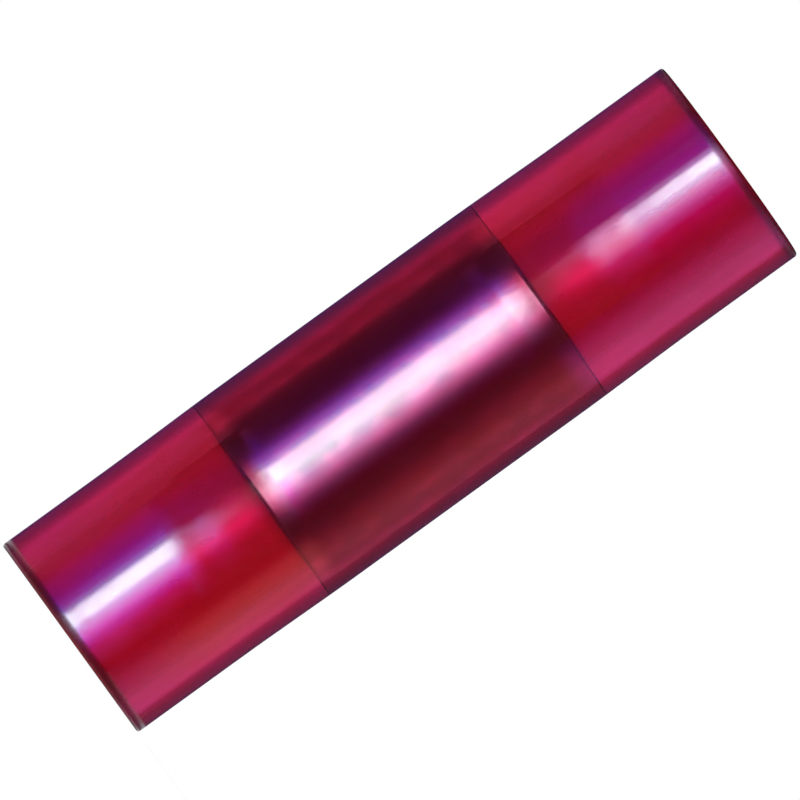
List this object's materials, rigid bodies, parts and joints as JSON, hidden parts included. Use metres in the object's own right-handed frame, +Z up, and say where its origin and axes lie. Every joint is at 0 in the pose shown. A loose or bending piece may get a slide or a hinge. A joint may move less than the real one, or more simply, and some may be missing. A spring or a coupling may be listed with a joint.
{
  "type": "parallel splice connector",
  "caption": "Translucent red nylon sleeve gripping a tinned copper barrel, in which stripped wires are laid side by side and joined by crimping.",
  "frame": {"origin": "centre of the lower end face, on which the connector stands", "axes": "+Z up along the bore, from the lower wire entry to the upper one; X and Y are across it"},
  "size_m": [0.0046, 0.0046, 0.016],
  "materials": {
    "nylon": "translucent magenta-red nylon, glossy",
    "tinned_copper": "soft bright tin plating on copper tube"
  },
  "bodies": {
    "root": {"insulating_sleeve": "nylon", "crimp_barrel": "tinned_copper"}
  },
  "joints": []
}
